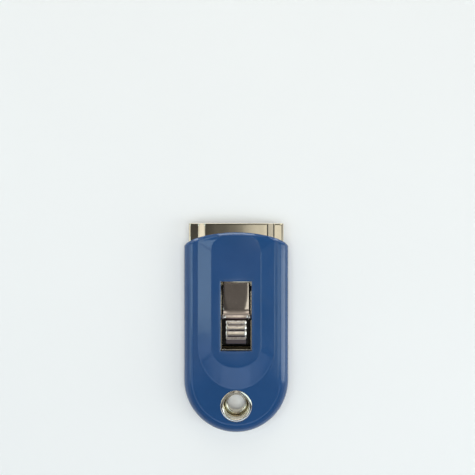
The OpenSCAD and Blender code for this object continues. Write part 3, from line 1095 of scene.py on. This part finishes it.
def button_top(x, y):
    """Height of the button: crowned ridges between two rails, and a sloping heel behind them."""
    if y < RIDGE_BACK_Y:
        t = (RIDGE_BACK_Y - y) / (RIDGE_BACK_Y - BUTTON_BACK_Y)
        return mix(HEEL_TOP_Z, HEEL_Z, t)
    stops = [BUTTON_FRONT_Y] + GROOVES_Y + [RIDGE_BACK_Y]
    front, back = next((a, b) for a, b in zip(stops, stops[1:]) if y >= b)
    crown = RIDGE_CROWN * abs((y - (front + back) / 2) / (front - back) * 2) ** 2
    inside = smooth((BUTTON_X - RAIL_W - abs(x)) / RAIL_SLOPE_W)
    fall_y = GROOVES_Y[-1] - LAST_RIDGE_FLAT
    fall = LAST_RIDGE_FALL * clamp((fall_y - y) / (fall_y - RIDGE_BACK_Y))
    rail = RAIL_DROP + RAIL_GROOVE_SHARE * groove(y)
    return BUTTON_TOP_Z - fall - mix(rail, crown + groove(y), inside)


def thumb_button():
    """A cap from a grid of heights, with rounded edges, upright sides and a flat foot."""
    r = BUTTON_ROUND
    turns = [0] + quarter(BUTTON_STEPS)
    ys = [BUTTON_FRONT_Y - r + r * math.sin(a) for a in reversed(turns)]
    ys += span(BUTTON_FRONT_Y - r, BUTTON_BACK_Y + r, BUTTON_STEP)[1:]
    ys += [BUTTON_BACK_Y + r - r * math.sin(a) for a in turns[1:]]
    shares = [1 - (r / BUTTON_X) * (1 - math.sin(a)) for a in turns]
    inner = span(0, shares[0], BUTTON_SHARE_STEP)[:-1]
    us = [-u for u in reversed(shares)] + [-u for u in reversed(inner[1:])] + inner + shares
    points = []
    rows = []
    for y in ys:
        side = button_side(y)
        row = []
        for u in us:
            x = u * side
            fall = 0.0
            for gap in (side - abs(x), BUTTON_FRONT_Y - y, y - BUTTON_BACK_Y):
                if gap < r:
                    fall += r - math.sqrt(max(0.0, r * r - (r - gap) ** 2))
            row.append(len(points))
            points.append((x, y, button_top(x, y) - min(fall, CORNER_FALL * r)))
        rows.append(row)
    faces = grid_faces(rows)
    border = rows[0] + [row[-1] for row in rows[1:]]
    border += rows[-1][-2::-1] + [row[0] for row in rows[-2:0:-1]]
    foot = []
    for p in border:
        x, y, _ = points[p]
        foot.append(len(points))
        points.append((x, y, BUTTON_LOW_Z))
    for i in range(len(border)):
        j = (i + 1) % len(border)
        faces.append((border[i], border[j], foot[j], foot[i]))
    faces.append(tuple(foot))
    make(
        "thumb_button_cap", points, faces, BUTTON_METAL,
        "thumb", "button_plate", ["thumb_button"], crease=60,
    )


thumb_button()


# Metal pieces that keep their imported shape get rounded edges.


def dress(node, material, width):
    """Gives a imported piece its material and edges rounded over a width."""
    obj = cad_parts[node]
    obj.data.materials.clear()
    obj.data.materials.append(material)
    weld = obj.modifiers.new("weld", "WELD")
    weld.merge_threshold = WELD_GAP * MM
    bevel = obj.modifiers.new("edges", "BEVEL")
    bevel.width = width * MM
    bevel.segments = EDGE_SEGMENTS
    bevel.limit_method = "ANGLE"
    bevel.angle_limit = math.radians(EDGE_ANGLE)
    obj.modifiers.new("normals", "WEIGHTED_NORMAL").keep_sharp = True
    for face in obj.data.polygons:
        face.use_smooth = True


dress("back_shell", BACK_METAL, 0.15)
dress("blade_carrier", CARRIER_METAL, 0.3)
dress("blade_pegs", RIVET_METAL, 0.15)
dress("razor_blade", BLADE_METAL, 0.02)
dress("blade_spine", SPINE_METAL, 0.08)
dress("leaf_rivets", RIVET_METAL, 0.15)
dress("button_rivets", RIVET_METAL, 0.15)


# Floor


def floor():
    """A pale floor, with its shadows near the part. It stays pale far away, where no lamp reaches."""
    m = Nodes(bpy.data.materials.new("pale_floor"))
    m.join(m.tones(m.noise(6, 3), *FLOOR_TONES), m.shader.inputs["Base Color"])
    away = m.add("ShaderNodeVectorMath", operation="LENGTH")
    m.join(m.place, away.inputs[0])
    away = away.outputs["Value"]
    lift = m.between(away, FAR_START * MM, FAR_END * MM, FLOOR_LIFT, FAR_LIFT, "SMOOTHSTEP")
    lift = m.math("MULTIPLY", lift, m.math("MAXIMUM", *m.rays()))
    m.join(lift, m.shader.inputs["Emission Strength"])
    m.set(Roughness=0.9, Emission_Color=(1, 1, 1, 1))
    corners = [(-1, -1), (1, -1), (1, 1), (-1, 1)]
    points = [(x * FLOOR_HALF, y * FLOOR_HALF, 0) for x, y in corners]
    obj = make("floor", points, [(0, 1, 2, 3)], m.owner)
    obj.location.z = -FLOOR_DROP * MM


floor()


# Light


def lamp(name, place, target, size, radiance, colour, turn=0):
    """A soft box. Its radiance is the brightness that it shows in a mirror, and turn is in degrees about
    its own axis."""
    data = bpy.data.lights.new(name, "AREA")
    data.shape = "RECTANGLE"
    data.size = size[0] * MM
    data.size_y = size[1] * MM
    data.energy = radiance * math.pi * size[0] * size[1] * MM * MM
    data.color = colour
    obj = bpy.data.objects.new(name, data)
    obj.location = Vector(place) * MM
    away = Vector(place) - Vector(target)
    spin = Quaternion((0, 0, 1), math.radians(turn))
    obj.rotation_euler = (away.to_track_quat("Z", "Y") @ spin).to_euler()
    obj.visible_camera = False
    bpy.context.scene.collection.objects.link(obj)
    return obj


def path_box(name, start, end, width, radiance, colour):
    """A soft box that lies level, from one place to another."""
    middle = [(a + b) / 2 for a, b in zip(start, end)]
    turn = math.degrees(math.atan2(end[1] - start[1], end[0] - start[0]))
    lamp(name, (*middle, BOX_Z), (*middle, 0), (math.dist(start, end), width), radiance, colour, turn)


def card(name, x, y, size, radiance, colour):
    """A soft box that hangs level, high over a place."""
    lamp(name, (x, y, CARD_Z), (x, y, 0), size, radiance, colour)


# Boxes that show in the sleeve's sides, and in its slopes all round
lamp("right_box", (548, -87, 282), (20, -87, 8), (226, 585), 3.2, PALE)
lamp("left_wing", (-462, -83, 405), (-20, -83, 8), (226, 200), 1.5, DAY)
path_box("left_box", (-375, 36), (-375, -128), 190, 2.7, DAY)
lamp("left_gap", (-385, 50, BOX_Z), (-385, 50, 0), (210, 28), 1.0, WARM)
path_box("corner_box", (-370, 66), (-370, 150), 170, 2.7, DAY)
path_box("corner_end", (-350, 156), (-225, 268), 150, 2.5, DAY)
path_box("foot_left", (-378, -134), (-324, -262), 130, 1.6, SKY)
path_box("foot_turn", (-310, -262), (-130, -368), 105, 1.4, SKY)
path_box("foot_box", (-130, -378), (120, -384), 95, 2.0, SKY)
path_box("foot_right", (120, -384), (335, -235), 100, 1.3, SKY)

# Cards that show in the case's mouth, darker to the left
for (left, level), (right, _) in zip(MOUTH_CARDS, MOUTH_CARDS[1:]):
    card("mouth_card_%d" % left, (left + right) / 2, MOUTH_CARDS_Y, (right - left, 60), level, WARM)
lamp("left_card", (-550, 42, 308), (0, 40, 0), (160, 440), 0.4, WARM)

# Cards that show in the window's rim, the button and the sleeve's borders
card("window_card", -2, -95, (36, 62), 1.4, WARM)
card("window_top", 8, -47, (32, 32), 0.7, PALE)
card("window_low", -2, -153, (36, 54), 0.85, WARM)
card("right_bridge", 148, -95, (144, 239), 1.6, DAY)
card("right_step", 324, -95, (208, 239), 1.8, DAY)
card("left_bridge", -163, -97, (210, 235), 0.35, WARM)

# Cards that show in the leaf, brighter towards its right edge and its ears
card("leaf_card", 123, 200, (56, 150), 1.1, CREAM)
card("edge_card", 195, 200, (88, 150), 1.7, CREAM)
card("leaf_dim", 0, 205, (180, 160), 0.08, WARM)
for (low, level), (high, _) in zip(RISE_CARDS, RISE_CARDS[1:]):
    lean = math.radians((low + high) / 2)
    place = Vector(RISE_AIM) + RISE_R * Vector((0, math.sin(lean), math.cos(lean)))
    tall = 2 * RISE_R * math.tan(math.radians((high - low) / 2))
    lamp("rise_card_%d" % low, place, RISE_AIM, (500, tall), level, WARM)

# A box at the far end that shows in the sleeve's lip, a faint card over the pad, and light from above
lamp("head_box", (0, 640, 73), (0, 40, 8), (1300, 111), 5.0, HEAD)
card("haze_card", 0, 2, (90, 60), 0.2, HAZE)
lamp("fill", (0, -40, 760), (0, -40, 0), (700, 700), 1.35, FILL).visible_glossy = False


def studio():
    """A world with a dark ceiling and paler walls, and a plain backdrop behind the floor's edge."""
    w = Nodes(bpy.data.worlds.new("studio"), "Background", "Generated")
    height = w.axis("Z")
    walls = w.between(height, *WORLD_RISE, WORLD_SIDE, WORLD_TOP, "SMOOTHSTEP")
    along = w.math("ABSOLUTE", w.axis("Y"))
    ends = w.between(along, *WORLD_ENDS, 1.0, WORLD_END, "SMOOTHSTEP")
    w.join(w.math("MULTIPLY", walls, ends), w.shader.inputs["Strength"])
    w.set(Color=WORLD_COLOUR)
    backdrop = w.add("ShaderNodeBackground")
    backdrop.inputs["Color"].default_value = BACKDROP_COLOUR
    looked_at, mirrored = w.rays()
    low = w.between(height, *BACKDROP_EDGE, 1.0, 0.0, "SMOOTHSTEP")
    behind = w.math("MULTIPLY", mirrored, low)
    both = w.add("ShaderNodeMixShader")
    w.join(w.math("MAXIMUM", looked_at, behind), both.inputs[0])
    w.join(w.shader.outputs[0], both.inputs[1])
    w.join(backdrop.outputs[0], both.inputs[2])
    w.join(both.outputs[0], w.tree.nodes["World Output"].inputs["Surface"])
    bpy.context.scene.world = w.owner


studio()
bpy.context.scene.view_settings.view_transform = "Standard"


# Camera, straight above, with the photograph's framing
camera_data = bpy.data.cameras.new("camera")
camera_data.sensor_width = SENSOR
camera_data.lens = SENSOR * FOCUS_PIXELS / IMAGE
camera_data.clip_start = 0.005
camera = bpy.data.objects.new("camera", camera_data)
camera.location = Vector(CAMERA_PLACE) * MM
bpy.context.scene.collection.objects.link(camera)
bpy.context.scene.camera = camera
